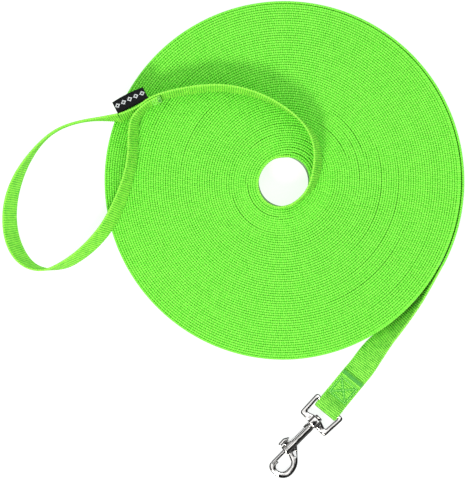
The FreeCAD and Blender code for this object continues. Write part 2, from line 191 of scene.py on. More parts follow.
def traced(route):
    """The route's spline as (place, lean) points, close together."""
    places = spline_line([place for place, _ in route])
    leans = spline_line([Vector((lean / 1000, 0, 0)) for _, lean in route])
    return [(place, lean.x * 1000) for place, lean in zip(places, leans)]


def across(way, lean):
    """Direction across webbing that runs that way and leans over by that many degrees."""
    right = way.cross(UP).normalized()
    upright = right.cross(way)
    tip = math.radians(lean)
    return upright * math.cos(tip) + right * math.sin(tip)


def evenly(line, step):
    """Sections at even distances along a traced line: (place, across, outwards, distance)."""
    gone = [0.0]
    for (a, _), (b, _) in zip(line, line[1:]):
        gone.append(gone[-1] + (b - a).length)
    count = max(2, round(gone[-1] / step))
    found = []
    index = 0
    for i in range(count + 1):
        at = gone[-1] * i / count
        while index < len(gone) - 2 and gone[index + 1] < at:
            index += 1
        span = gone[index + 1] - gone[index]
        share = 0.0 if span == 0 else (at - gone[index]) / span
        (a, lean_a), (b, lean_b) = line[index], line[index + 1]
        before = line[max(0, index - 1)][0]
        after = line[min(len(line) - 1, index + 2)][0]
        way = ((b - before).normalized() * (1 - share) + (after - a).normalized() * share).normalized()
        wide = across(way, lean_a + (lean_b - lean_a) * share)
        found.append((a.lerp(b, share), wide, way.cross(wide), at))
    return found


def rib_height(distance):
    """Height of the cross ribs at a distance along the webbing, from 0 in a furrow to 1 on a rib."""
    return abs(math.sin(math.pi * distance / RIB)) ** 0.7


# The webbing's section: how far in the ribs stand out fully, how thick it is in a furrow, how much a rib
# adds to that, and how much narrower it is in a furrow
RIB_END = 0.12
FURROW_THICK = 0.80
RIB_THICK = 0.30
FURROW_NARROWER = 0.02


def half_outline(columns):
    """One broad side of the webbing's section: shares of the half width and of the half thickness."""
    flat = [-0.9 + 1.8 * i / columns for i in range(columns + 1)]
    return [(-0.985, 0.62), (-0.955, 0.93)] + [(w, 1.0) for w in flat] + [(0.955, 0.93), (0.985, 0.62)]


def no_dent(at, wide):
    return 0.0


def ribbon(name, sections, columns=8, dent=no_dent):
    """Ribbed webbing through sections, closed at both ends, with UVs. dent lowers its outer broad side."""
    half = half_outline(columns)
    outline = [(-1.0, 0.0)] + half + [(1.0, 0.0)] + [(w, -n) for w, n in reversed(half)]
    points = []
    for place, wide, thick, at in sections:
        rib = rib_height(at)
        for w, n in outline:
            broad = min(1.0, (1 - abs(w)) / RIB_END)
            rise = HALF_THICK * n * (FURROW_THICK + RIB_THICK * rib * broad)
            if n > 0:
                rise -= dent(at, w * HALF_WIDTH)
            reach = HALF_WIDTH * w * (1 - FURROW_NARROWER * (1 - rib))
            points.append(place + wide * reach + thick * rise)
    piece = add_mesh(name, points, skin(len(sections), len(outline), flipped=True))
    give_uvs(piece, [(at, HALF_WIDTH * w) for _, _, _, at in sections for w, _ in outline])
    return piece


def give_uvs(piece, per_vertex):
    """UVs in metres: along the webbing and across it."""
    layer = piece.data.uv_layers.new(name="cloth")
    corners = [0] * len(piece.data.loops)
    piece.data.loops.foreach_get("vertex_index", corners)
    layer.data.foreach_set("uv", [value for corner in corners for value in per_vertex[corner]])


def path_of(sections, step=4):
    """Every few middles of the sections, and always the last one."""
    kept = sections[::step]
    if kept[-1] is not sections[-1]:
        kept.append(sections[-1])
    return [list(place) for place, _, _, _ in kept]


# ---------------------------------------------------------------- the coil


# Gaps between turns: distance from the middle at which the turns part, first and last angle, how far they
# part, and how far outwards the shift reaches before it has died away.
GAPS = [
    (0.0222, 8, 88, 0.00040, 0.010), (0.0250, 0, 95, 0.00040, 0.010), (0.0284, 5, 85, 0.00034, 0.012),
    (0.0320, 12, 80, 0.00028, 0.012), (0.0268, 165, 290, 0.00034, 0.010), (0.0335, 95, 140, 0.00024, 0.010),
    (0.0412, 60, 125, 0.00016, 0.014), (0.0392, 185, 250, 0.00022, 0.012), (0.0490, 15, 60, 0.00030, 0.014),
    (0.0545, -5, 50, 0.00026, 0.014), (0.0612, 5, 55, 0.00026, 0.014), (0.0700, -50, 35, 0.00022, 0.014),
    (0.0830, -60, 15, 0.00022, 0.014), (0.0930, -75, -20, 0.00022, 0.014), (0.0750, 130, 175, 0.00016, 0.014),
    (0.1010, 120, 165, 0.00016, 0.014), (0.1105, -60, -15, 0.00016, 0.012),
]
# How far turns wander, and how they lie under the tail: the turn inside it is pressed inwards where the tail
# leaves, which fades over an arc before that place and a shorter one after it (degrees). Nothing wanders at
# the coil's rim: it dies away over the last OUTER_STEADY of the radius.
WANDER = 0.00010
PRESSED_IN = 0.0009
PRESSED_FADE = 35
LOOSE_BEFORE_TAIL = 0.0003
ARC_BEFORE_TAIL = 140
ARC_AFTER_TAIL = 60
OUTER_STEADY = 0.004
# How far the turns stand off the table: slow and quick waves, which die away over an arc at either end
SLOW_LIFT = 0.00014
QUICK_LIFT = 0.00008
LEVEL_ARC = 60
BEAD_STEP = RIB / 2
# The inner turns step outwards over one arc, where the lead ends its own turn inside them. Further out they
# become an even spiral.
STEP_ARC = 120
EVEN_AFTER = 3600
STRETCHES = 3


def arc_share(angle, first, last):
    """1 in the middle of an arc of angles, falling smoothly to 0 at its ends."""
    along = ((angle - first) % 360) / (last - first)
    return math.sin(math.pi * along) ** 0.6 if along < 1 else 0.0


def coil_shift(radius, angle, to_go):
    """How far a turn is moved outwards from the even spiral there."""
    turn = math.radians(angle)
    shift = WANDER * noise.noise(Vector((math.cos(turn) * 1.3, math.sin(turn) * 1.3, radius * 95)))
    for at, first, last, apart, reach in GAPS:
        if radius > at:
            shift += arc_share(angle, first, last) * apart * math.exp(-(radius - at) / reach)
    shift *= max(0.0, min(1.0, (OUTER_MIDDLE - radius) / OUTER_STEADY))
    before_tail = to_go - 360
    if 0 < before_tail < ARC_BEFORE_TAIL:
        shift -= PRESSED_IN * math.exp(-before_tail / PRESSED_FADE)
        shift -= LOOSE_BEFORE_TAIL * math.sin(math.pi * before_tail / ARC_BEFORE_TAIL)
    elif -ARC_AFTER_TAIL < before_tail <= 0:
        shift -= PRESSED_IN * (1 + before_tail / ARC_AFTER_TAIL)
    return shift


def coil_place(turned, whole):
    """Middle of the wound webbing after it has turned that many degrees from its inner end."""
    angle = START_ANGLE - turned
    to_go = whole - turned
    turns, rest = divmod(turned, 360)
    even = min(1.0, turned / EVEN_AFTER)
    progress = turns + min(1.0, rest / STEP_ARC) * (1 - even) + rest / 360 * even
    share = progress * 360 / whole
    radius = (hole_radius(angle, 0) - LEAD_INSET) * (1 - share) + OUTER_MIDDLE * share
    radius += coil_shift(radius, angle, to_go)
    lift = SLOW_LIFT * (1 + noise.noise(Vector((turned / 150, 3.1, 0))))
    lift += QUICK_LIFT * noise.noise(Vector((turned / 21, 7.7, 0)))
    lift *= min(1.0, turned / LEVEL_ARC, max(0.0, to_go) / LEVEL_ARC)
    turn = math.radians(angle)
    outward = Vector((math.cos(turn), math.sin(turn), 0))
    return COIL + outward * radius + UP * max(0.0, lift), outward, radius


def coil_sections():
    """Sections of the wound webbing, one on each rib and one in each furrow: (place, outward, distance)."""
    whole = 360.0 * WHOLE_TURNS + START_ANGLE - END_ANGLE
    found = []
    turned, gone = 0.0, 0.0
    before = None
    while True:
        place, outward, radius = coil_place(turned, whole)
        if before is not None:
            gone += (place - before).length
        before = place
        found.append((place, outward, gone))
        if turned >= whole:
            return found
        turned = min(whole, turned + math.degrees(BEAD_STEP / radius))


def coil_ring(half, low, top, low_edge=0.0006, top_edge=0.0007):
    """Section of the wound webbing: heights, and offsets outwards."""
    return [
        (low, -0.6 * half), (low + low_edge, -half), (top - top_edge, -half), (top, -0.5 * half),
        (top, 0.5 * half), (top - top_edge, half), (low + low_edge, half), (low, 0.6 * half),
    ]


# In a furrow, and on a rib, where the edges bead
RINGS = (coil_ring(half=0.00073, low=0.0003, top=0.01868), coil_ring(half=0.00086, low=0.0, top=0.01898))


def wound_stretch(name, sections, first_index):
    """One stretch of the wound webbing, closed at both ends."""
    points, uvs = [], []
    for i, (place, outward, at) in enumerate(sections):
        along = (first_index + i) * BEAD_STEP
        for height, side in RINGS[(first_index + i) % 2]:
            points.append(place + UP * height + outward * side)
            uvs.append((along, height - HALF_WIDTH))
    piece = add_mesh(name, points, skin(len(sections), len(RINGS[0])))
    give_uvs(piece, uvs)
    return piece


# ---------------------------------------------------------------- materials


def node_material(name):
    """A material with an empty principled shader: (material, tree, shader)."""
    material = bpy.data.materials.new(name)
    material.use_nodes = True
    tree = material.node_tree
    tree.nodes.clear()
    output = tree.nodes.new("ShaderNodeOutputMaterial")
    shader = tree.nodes.new("ShaderNodeBsdfPrincipled")
    tree.links.new(shader.outputs["BSDF"], output.inputs["Surface"])
    return material, tree, shader


def maths(tree, operation, *values):
    """One step of arithmetic. Values are numbers or sockets."""
    node = tree.nodes.new("ShaderNodeMath")
    node.operation = operation
    for socket, value in zip(node.inputs, values):
        if isinstance(value, (int, float)):
            socket.default_value = value
        else:
            tree.links.new(value, socket)
    return node.outputs[0]


def clamped(tree, value):
    node = tree.nodes.new("ShaderNodeClamp")
    tree.links.new(value, node.inputs["Value"])
    return node.outputs[0]


def ranged(tree, value, low, high, interpolation="LINEAR"):
    """0 where the value is low, 1 where it is high, and between them on the way."""
    node = tree.nodes.new("ShaderNodeMapRange")
    node.interpolation_type = interpolation
    tree.links.new(value, node.inputs["Value"])
    node.inputs["From Min"].default_value = low
    node.inputs["From Max"].default_value = high
    return node.outputs["Result"]


def mixed(tree, share, low, high, blend="MIX"):
    """One colour blended over another. Colours are tuples or sockets."""
    node = tree.nodes.new("ShaderNodeMix")
    node.data_type = "RGBA"
    node.blend_type = blend
    if isinstance(share, (int, float)):
        node.inputs["Factor"].default_value = share
    else:
        tree.links.new(share, node.inputs["Factor"])
    for socket, value in ((node.inputs[6], low), (node.inputs[7], high)):
        if isinstance(value, tuple):
            socket.default_value = (*value, 1)
        else:
            tree.links.new(value, socket)
    return node.outputs[2]


def noisy(tree, place, scale, detail):
    node = tree.nodes.new("ShaderNodeTexNoise")
    node.inputs["Scale"].default_value = scale
    node.inputs["Detail"].default_value = detail
    tree.links.new(place, node.inputs["Vector"])
    return node.outputs["Fac"]


def object_place(tree):
    return tree.nodes.new("ShaderNodeTexCoord").outputs["Object"]


def cloth_place(tree):
    """Distances along and across the cloth, from its UVs."""
    uv = tree.nodes.new("ShaderNodeUVMap")
    uv.uv_map = "cloth"
    split = tree.nodes.new("ShaderNodeSeparateXYZ")
    tree.links.new(uv.outputs["UV"], split.inputs[0])
    return split.outputs["X"], split.outputs["Y"]


def bumped(tree, shader, height, distance, normal=None):
    """Gives the shader a bump of that depth in metres, on top of another normal where there is one."""
    node = tree.nodes.new("ShaderNodeBump")
    node.inputs["Distance"].default_value = distance
    node.inputs["Strength"].default_value = 1.0
    tree.links.new(height, node.inputs["Height"])
    if normal is not None:
        tree.links.new(normal, node.inputs["Normal"])
    tree.links.new(node.outputs["Normal"], shader.inputs["Normal"])


# Colours of the webbing as (on top of a rib, in a furrow): the tape's green with painted light on the ribs
# and painted shade in the furrows. After them comes a painted highlight along the tape's edges, with how
# strong it is, where it starts and how quickly it rises
WOUND_GREENS_LIT_AND_SHADED = ((0.28, 0.90, 0.082), (0.11, 0.66, 0.028))
FREE_GREENS_LIT_AND_SHADED = ((0.42, 1.0, 0.090), (0.05, 0.52, 0.024))
END_GREENS_LIT_AND_SHADED = ((0.37, 0.95, 0.105), (0.02, 0.30, 0.011))
SEALED_GREENS_LIT_AND_SHADED = ((0.11, 0.46, 0.07), (0.06, 0.33, 0.045))
GROOVE_SHADED_GREENS = ((0.06, 0.45, 0.025), (0.06, 0.33, 0.045))
EDGE_HIGHLIGHT = (0.40, 1.0, 0.10)
EDGE_HIGHLIGHT_SHARE = 0.4
EDGE_HIGHLIGHT_FROM = 0.0086
EDGE_HIGHLIGHT_SHARPNESS = 1400

# Sizes of the filaments and of the slow changes of shade, as noise scales, and how much each one does
FIBRE_SCALE = 5200
FIBRE_HEIGHT = 0.25
MOTTLE_SCALE = 240
MOTTLE_CONTRAST = 0.8

# Where the tail leaves the coil, its shade starts as that of the coil's wall
WALL_CONTRAST = 0.6
WALL_LIGHTNESS = 0.42
LEAVING_LENGTH = 0.034

# A weave's width of a warp float, how much the floats show beside the ribs, how peaked the ribs are, the
# contrast and lightness of its mottle and of its painted rib light and shade, the depth of its bump, and
# whether its edges get the painted highlight
Weave = namedtuple("Weave", "float_width float_share rib_power contrast lightness bump selvedge")
WOUND = Weave(0.00155, 0.5, 0.8, 0.8, 0.25, 0.00025, False)
FREE = Weave(0.00155, 0.7, 1.0, 1.0, 0.10, 0.00035, True)
END = Weave(0.00135, 0.92, 1.0, 1.0, 0.10, 0.00035, True)


def webbing_material(name, weave, colours, leaves_coil=False):
    """Woven tape: cross ribs broken into warp floats, painted light on them and shade between, fine
    filaments, and a painted edge highlight.
    """
    material, tree, shader = node_material(name)
    along, wide = cloth_place(tree)
    top, furrow = colours
    rib = maths(tree, "ABSOLUTE", maths(tree, "SINE", maths(tree, "MULTIPLY", along, math.pi / RIB)))
    row = maths(tree, "FLOOR", maths(tree, "DIVIDE", along, RIB))
    offset = maths(tree, "MULTIPLY", row, math.pi / 2)
    float_turn = maths(tree, "ADD", maths(tree, "MULTIPLY", wide, math.pi / weave.float_width), offset)
    warp = maths(tree, "ABSOLUTE", maths(tree, "SINE", float_turn))
    floats = maths(tree, "ADD", maths(tree, "MULTIPLY", warp, weave.float_share), 1 - weave.float_share)
    float_height = maths(tree, "MULTIPLY", maths(tree, "POWER", rib, weave.rib_power), floats)
    place = object_place(tree)
    fibre = noisy(tree, place, FIBRE_SCALE, 1.0)
    mottle = maths(tree, "SUBTRACT", noisy(tree, place, MOTTLE_SCALE, 2.0), 0.5)
    height = maths(tree, "ADD", float_height, maths(tree, "MULTIPLY", fibre, FIBRE_HEIGHT))
    shade = maths(tree, "ADD", float_height, maths(tree, "MULTIPLY", mottle, MOTTLE_CONTRAST))
    shade = maths(tree, "ADD", maths(tree, "MULTIPLY", shade, weave.contrast), weave.lightness)
    # The mix from the furrow colour to the top colour paints shade into the furrows and light onto the ribs
    # and floats. The mottle in it is the tape's own uneven tone.
    woven = mixed(tree, clamped(tree, shade), furrow, top)
    if leaves_coil:
        # The coil wall's colours, with their painted light on the ribs and painted shade in the furrows.
        wall_shade = maths(tree, "ADD", maths(tree, "MULTIPLY", shade, WALL_CONTRAST), WALL_LIGHTNESS)
        wall_top, wall_furrow = WOUND_GREENS_LIT_AND_SHADED
        wall = mixed(tree, clamped(tree, wall_shade), wall_furrow, wall_top)
        woven = mixed(tree, ranged(tree, along, 0.0, LEAVING_LENGTH, "SMOOTHSTEP"), wall, woven)
    # A painted highlight along both edges of the tape, brightest at the very edge.
    if weave.selvedge:
        from_edge = maths(tree, "SUBTRACT", maths(tree, "ABSOLUTE", wide), EDGE_HIGHLIGHT_FROM)
        edge = clamped(tree, maths(tree, "MULTIPLY", from_edge, EDGE_HIGHLIGHT_SHARPNESS))
        woven = mixed(tree, maths(tree, "MULTIPLY", edge, EDGE_HIGHLIGHT_SHARE), woven, EDGE_HIGHLIGHT)
    tree.links.new(woven, shader.inputs["Base Color"])
    shader.inputs["Roughness"].default_value = 0.62
    shader.inputs["Specular IOR Level"].default_value = 0.18
    shader.inputs["Sheen Weight"].default_value = 0.06
    shader.inputs["Sheen Roughness"].default_value = 0.4
    shader.inputs["Sheen Tint"].default_value = (0.6, 1.0, 0.4, 1)
    bumped(tree, shader, height, weave.bump)
    return material


THREAD_COLOURS = ((0.28, 0.88, 0.12), (0.50, 1.0, 0.22))
TWIST_SCALE = 3000


def thread_material():
    """Twisted polyester thread."""
    material, tree, shader = node_material("sewing_thread")
    twist = noisy(tree, object_place(tree), TWIST_SCALE, 1.0)
    tree.links.new(mixed(tree, twist, *THREAD_COLOURS), shader.inputs["Base Color"])
    shader.inputs["Roughness"].default_value = 0.5
    shader.inputs["Sheen Weight"].default_value = 0.2
    bumped(tree, shader, twist, 0.0001)
    return material


# A plain row of woven diamonds along the label, and the size of the label's own weave
DIAMOND_PITCH = 0.0049
DIAMOND_HALF_LONG = 0.0021
DIAMOND_HALF_TALL = 0.0017
DIAMOND_ROW = 0.0078
DIAMOND_INSIDE = 0.45
DIAMOND_COLOUR = (0.62, 0.61, 0.62)
LABEL_COLOURS = ((0.004, 0.004, 0.005), (0.012, 0.012, 0.014))
LABEL_WARP = 0.0005
LABEL_WEFT = 0.0003


def label_material():
    """Black woven label with a row of open diamonds."""
    material, tree, shader = node_material("woven_label")
    along, wide = cloth_place(tree)
    warp = maths(tree, "SINE", maths(tree, "MULTIPLY", along, 2 * math.pi / LABEL_WARP))
    weft = maths(tree, "SINE", maths(tree, "MULTIPLY", wide, 2 * math.pi / LABEL_WEFT))
    weave = maths(tree, "MULTIPLY", warp, weft)
    share = maths(tree, "ADD", maths(tree, "MULTIPLY", weave, 0.25), 0.5)
    repeat = maths(tree, "SUBTRACT", maths(tree, "FRACT", maths(tree, "DIVIDE", along, DIAMOND_PITCH)), 0.5)
    lengthwise = maths(tree, "ABSOLUTE", maths(tree, "MULTIPLY", repeat, DIAMOND_PITCH / DIAMOND_HALF_LONG))
    from_row = maths(tree, "SUBTRACT", wide, DIAMOND_ROW)
    upwards = maths(tree, "ABSOLUTE", maths(tree, "DIVIDE", from_row, DIAMOND_HALF_TALL))
    outwards = maths(tree, "ADD", lengthwise, upwards)
    diamond = maths(tree, "MULTIPLY", maths(tree, "LESS_THAN", outwards, 1.0),
                    maths(tree, "GREATER_THAN", outwards, DIAMOND_INSIDE))
    ground = mixed(tree, share, *LABEL_COLOURS)
    tree.links.new(mixed(tree, diamond, ground, DIAMOND_COLOUR), shader.inputs["Base Color"])
    shader.inputs["Roughness"].default_value = 0.55
    shader.inputs["Specular IOR Level"].default_value = 0.15
    shader.inputs["Sheen Weight"].default_value = 0.02
    bumped(tree, shader, weave, 0.00006)
    return material


NICKEL = (0.80, 0.785, 0.765)
STEEL = (0.80, 0.79, 0.78)
SPRING_STEEL = (0.62, 0.60, 0.57)
WAVE_SCALE = 150
RUB_SCALE = 1700
RUB_DULLNESS = 0.35
RUB_ROUGHNESS = 0.05
RUB_DEPTH = 0.01
HALF_CHANGE = 0.003


def hook_rounding(tree, place):
    """Width of the polished-over edges: narrow along the shank, wide on the hook."""
    from_end = tree.nodes.new("ShaderNodeVectorMath")
    from_end.operation = "SUBTRACT"
    tree.links.new(place, from_end.inputs[0])
    from_end.inputs[1].default_value = SNAP_ZERO + SNAP_X * SHANK_LENGTH
    along = tree.nodes.new("ShaderNodeVectorMath")
    along.operation = "DOT_PRODUCT"
    tree.links.new(from_end.outputs[0], along.inputs[0])
    along.inputs[1].default_value = SNAP_X
    on_hook = ranged(tree, along.outputs["Value"], -HALF_CHANGE, HALF_CHANGE)
    return maths(tree, "ADD", maths(tree, "MULTIPLY", on_hook, HOOK_EDGE - SHANK_EDGE), SHANK_EDGE)


def metal_material(name, colour, roughness, waviness, edge):
    """Plated metal: a casting's slow waviness, uneven polish, fine rubs, and edges polished over.

    edge is the width of the edges in metres, or a function that makes it from the tree and the place."""
    material, tree, shader = node_material(name)
    place = object_place(tree)
    wave = noisy(tree, place, WAVE_SCALE, 1.0)
    rub = noisy(tree, place, RUB_SCALE, 3.0)
    dull = tuple(c * 0.8 for c in colour)
    tree.links.new(mixed(tree, maths(tree, "MULTIPLY", rub, RUB_DULLNESS), colour, dull),
                   shader.inputs["Base Color"])
    shader.inputs["Metallic"].default_value = 1.0
    tree.links.new(maths(tree, "ADD", maths(tree, "MULTIPLY", rub, RUB_ROUGHNESS), roughness),
                   shader.inputs["Roughness"])
    bevel = tree.nodes.new("ShaderNodeBevel")
    bevel.samples = 8
    if callable(edge):
        tree.links.new(edge(tree, place), bevel.inputs["Radius"])
    else:
        bevel.inputs["Radius"].default_value = edge
    bumped(tree, shader, maths(tree, "ADD", wave, maths(tree, "MULTIPLY", rub, RUB_DEPTH)), waviness,
           normal=bevel.outputs["Normal"])
    return material


def paint(piece, material):
    piece.data.materials.clear()
    piece.data.materials.append(material)


tape = webbing_material("neon_tape", FREE, FREE_GREENS_LIT_AND_SHADED)
wound_tape = webbing_material("neon_tape_wound", WOUND, WOUND_GREENS_LIT_AND_SHADED)
sealed_tape = webbing_material("neon_tape_sealed", FREE, SEALED_GREENS_LIT_AND_SHADED)
# Painted shade for the grooves that the stitches press into the turned-back ply.
groove_shaded_tape = webbing_material("neon_tape_groove_shaded", FREE, GROOVE_SHADED_GREENS)
end_tape = webbing_material("neon_tape_end", END, END_GREENS_LIT_AND_SHADED)
leaving_tape = webbing_material("neon_tape_leaving", END, END_GREENS_LIT_AND_SHADED, leaves_coil=True)
thread = thread_material()
label_cloth = label_material()
casting = metal_material("plated_casting", NICKEL, roughness=0.035, waviness=0.00025, edge=0.0012)
hook_casting = metal_material("plated_hook", NICKEL, roughness=0.035, waviness=0.00022, edge=hook_rounding)
pin_metal = metal_material("plated_pin", STEEL, roughness=0.07, waviness=0.0003, edge=0.0003)
spring_steel = metal_material("spring_wire", SPRING_STEEL, roughness=0.16, waviness=0.0001, edge=0.00005)

# ---------------------------------------------------------------- webbing


def as_cloth(piece, material, node):
    """Paints a piece of webbing that lies wound or folded, hangs it on the leash and hides the model's part
    it stands for.
    """
    paint(piece, material)
    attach(piece, "leash")
    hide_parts(node)


wound = coil_sections()
for number, name in enumerate(("coil_inner", "coil_middle", "coil_outer")):
    first = (len(wound) - 1) * number // STRETCHES
    last = (len(wound) - 1) * (number + 1) // STRETCHES
    stretch = wound_stretch(name, wound[first:last + 1], first)
    as_cloth(stretch, wound_tape, "webbing_coil")


def free_webbing(name, node, route, material):
    sections = evenly(traced(stations(route)), RIB / 4)
    piece = ribbon(name, sections)
    paint(piece, material)
    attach(piece, "leash")
    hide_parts(node)
    path_of(sections)
    return piece


free_webbing("lead_webbing", "handle_lead", LEAD, tape)
hand_loop = free_webbing("hand_loop", "handle_loop", LOOP, tape)
free_webbing("tail_webbing", "tail_strap", TAIL, leaving_tape)

# ---------------------------------------------------------------- sewing


STITCH_PITCH = 0.0025
STITCH_LENGTH = 0.0021
STITCH_STEPS = 8
STITCH_RISE = 0.00022
STITCH_SINK = 0.00055
THREAD_RADIUS = 0.00024


def tube(points, faces, line, radius, side, sides=6):
    """Adds a thread through a line of places, which lies in a plane that side stands square to."""
    first = len(points)
    for i, place in enumerate(line):
        way = (line[min(i + 1, len(line) - 1)] - line[max(i - 1, 0)]).normalized()
        upward = side.cross(way)
        for j in range(sides):
            turn = 2 * math.pi * j / sides
            points.append(place + (side * math.cos(turn) + upward * math.sin(turn)) * radius)
    faces += skin(len(line), sides, first)


def sewn_runs(name, node, runs, out):
    """Stitches along straight runs (start, end): each rises out of the cloth, lies on it and goes back in."""
    points, faces = [], []
    for start, end in runs:
        run = end - start
        count = max(1, round(run.length / STITCH_PITCH))
        along = run.normalized()
        side = along.cross(out).normalized()
        for number in range(count):
            middle = start + run * ((number + 0.5) / count)
            line = []
            for step in range(STITCH_STEPS + 1):
                share = 2 * step / STITCH_STEPS - 1
                height = STITCH_RISE - STITCH_SINK * abs(share) ** 3
                line.append(middle + along * (share * STITCH_LENGTH / 2) + out * height)
            tube(points, faces, line, THREAD_RADIUS, side)
    piece = add_mesh(name, points, faces)
    paint(piece, thread)
    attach(piece, "leash")
    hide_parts(node)


def box_and_cross(corner, along, side, inset=0.06):
    """The runs of a sewn rectangle from one corner, with both of its diagonals a little inset."""
    a, b, c, d = corner, corner + along, corner + along + side, corner + side
    sides = [(a, b), (b, c), (c, d), (d, a)]
    return sides + [(start.lerp(end, inset), end.lerp(start, inset)) for start, end in ((a, c), (b, d))]


# The sewn end: distances along the tail from the eye's bar, towards the snap
SEWN_TURN = math.radians(230.5)
TOWARDS = Vector((math.cos(SEWN_TURN), math.sin(SEWN_TURN), 0))
SIDEWAYS = Vector((-TOWARDS.y, TOWARDS.x, 0))
FOLD_END = 0.00535
CUT_END = FOLD_END - 0.034
SEAM_FAR = FOLD_END - 0.0284
SEAM_NEAR = FOLD_END - 0.0146
SEAM_HALF = 0.0072
PLY_TOP = 0.00312
PLY_UPPER_FACE = 0.0024
# The ply lies flat from this distance on, and its seam's stitches press it in
FLAT_FROM = 0.016
DENT_DEPTH = 0.00045
DENT_HALF = 0.0007
# Its cut end is melted, and the webbing beside the stitches is darkened with painted shade for the grooves
# they press in
SEALED_BAND = 0.0031
GROOVE_SHADE_HALF = 0.0008
# Its middle line, round the eye's bar: distance along the tail and height
PLY_LINE = [
    (-0.0030, 0.00078), (0.0014, 0.00078), (0.0042, 0.00080), (0.0046, 0.0037), (0.0040, 0.0068),
    (0.0010, 0.0068), (-0.0030, 0.0056), (-0.0084, 0.0024), (-0.0130, 0.00235), (-0.0200, 0.00235),
    (CUT_END, 0.00235),
]


def to_line(place, start, end):
    """Distance of a flat place from the line between two others."""
    run = end - start
    share = max(0.0, min(1.0, (place - start).dot(run) / run.dot(run)))
    return (place - start - run * share).length


def ply_sections():
    """Sections of the turned-back ply, from the tail's end round the bar and back."""
    line = spline_line([Vector((along, 0, height)) for along, height in PLY_LINE])
    route = [(BAR + TOWARDS * point.x + UP * point.z, 0.0) for point in line]
    flat = evenly(route, RIB / 4)
    found = []
    for i, (place, _, _, at) in enumerate(flat):
        way = flat[min(i + 1, len(flat) - 1)][0] - flat[max(i - 1, 0)][0]
        found.append((place, SIDEWAYS, SIDEWAYS.cross(way).normalized(), at))
    return found


def turned_back_ply():
    """The end of the webbing round the eye's bar, dented by its seam, with a melted cut end."""
    sections = ply_sections()
    corners = [Vector((SEAM_FAR, -SEAM_HALF)), Vector((SEAM_NEAR, -SEAM_HALF)),
               Vector((SEAM_NEAR, SEAM_HALF)), Vector((SEAM_FAR, SEAM_HALF))]
    seams = list(zip(corners, corners[1:] + corners[:1]))
    seams += [(corners[0], corners[2]), (corners[1], corners[3])]
    flat_place, _, _, flat_at = next(section for section in sections if section[3] > FLAT_FROM)
    flat_along = (flat_place - BAR).dot(TOWARDS)

    def to_seam(place):
        return min(to_line(place, start, end) for start, end in seams)

    def dent(at, wide):
        if at < flat_at:
            return 0.0
        near = to_seam(Vector((flat_along - (at - flat_at), wide)))
        return DENT_DEPTH * math.exp(-(near / DENT_HALF) ** 2)

    piece = ribbon("turned_back_ply", sections, columns=30, dent=dent)
    as_cloth(piece, end_tape, "turnback_ply")
    piece.data.materials.append(sealed_tape)
    piece.data.materials.append(groove_shaded_tape)
    for face in piece.data.polygons:
        if face.center.z < PLY_UPPER_FACE:
            continue
        from_bar = face.center - BAR
        place = Vector((from_bar.dot(TOWARDS), from_bar.dot(SIDEWAYS)))
        if place.x < CUT_END + SEALED_BAND:
            face.material_index = 1
        # The faces beside the seam's stitches get painted shade for the grooves that the stitches press in.
        elif to_seam(place) < GROOVE_SHADE_HALF:
            face.material_index = 2


turned_back_ply()
seam_corner = BAR + TOWARDS * SEAM_FAR - SIDEWAYS * SEAM_HALF + UP * (PLY_TOP - 0.0001)
sewn_runs("end_stitches", "turnback_stitching", box_and_cross(
    seam_corner, TOWARDS * (SEAM_NEAR - SEAM_FAR), SIDEWAYS * (2 * SEAM_HALF)), UP)

# Where the hand loop comes back to the lead: how far from the lead's fourth point the seam starts, its size,
# how far its lower edge lies below the middle, and how far out from the lead's middle its stitches lie
LOOP_SEAM_MARGIN = 0.0024
LOOP_SEAM_LENGTH = 0.0064
LOOP_SEAM_HEIGHT = 0.014
LOOP_SEAM_LOW = 0.0070
LOOP_SEAM_OUT = 0.0025
LOOP_SEALED_BAND = 0.0026
LOOP_END_REACH = 0.012


def loop_seam():
    """Melts the hand loop's end and sews it to the lead."""
    (start, lean_before), (end, lean_after) = stations(LEAD)[3:5]
    way = (end - start).normalized()
    wide = across(way, (lean_before + lean_after) / 2)
    out = way.cross(wide).normalized()
    hand_loop.data.materials.append(sealed_tape)
    loop_end = stations(LOOP)[-1][0]
    for face in hand_loop.data.polygons:
        from_end = face.center - loop_end
        if from_end.dot(way) > -LOOP_SEALED_BAND and from_end.length < LOOP_END_REACH:
            face.material_index = 1
    corner = start + way * LOOP_SEAM_MARGIN - wide * LOOP_SEAM_LOW + out * LOOP_SEAM_OUT
    sewn_runs("loop_stitches", "loop_stitching", box_and_cross(
        corner, way * LOOP_SEAM_LENGTH, wide * LOOP_SEAM_HEIGHT), out)


loop_seam()

# ---------------------------------------------------------------- label


LABEL_LENGTH = 0.0245
LABEL_HALF = 0.00022
LABEL_LEAF = 0.0088
LABEL_COLUMNS = 40
LABEL_RIPPLE = 0.00035
LABEL_BOW = 0.0005
# The label's line, from its cut end on the lead's face: height over the lead's edge, distance from the
# lead's middle in shares of the foot, and distance out over the coil
LABEL_FOOT = HALF_THICK + 0.0004
LABEL_LINE = [
    (-0.0034, 1.0, 0.0), (-0.0012, 1.0, 0.0), (0.0006, 1.1, 0.0),
    (0.0009, 1.0, 0.0022), (0.0008, 1.0, 0.0056), (0.0002, 1.0, LABEL_LEAF),
]


def label_faces(rows, columns):
    """Faces of a sheet whose points come in rows of (upper, lower) pairs."""
    row = 2 * (columns + 1)
    faces = []
    for i in range(rows - 1):
        for j in range(columns):
            a = i * row + 2 * j
            faces.append((a, a + row, a + row + 2, a + 2))
            faces.append((a + 1, a + 3, a + row + 3, a + row + 1))
        a = i * row
        faces.append((a, a + 1, a + row + 1, a + row))
        b = a + row - 2
        faces.append((b, b + row, b + row + 1, b + 1))
    last = (rows - 1) * row
    for j in range(columns):
        a = 2 * j
        faces.append((a, a + 2, a + 3, a + 1))
        faces.append((last + a, last + a + 1, last + a + 3, last + a + 2))
    return faces


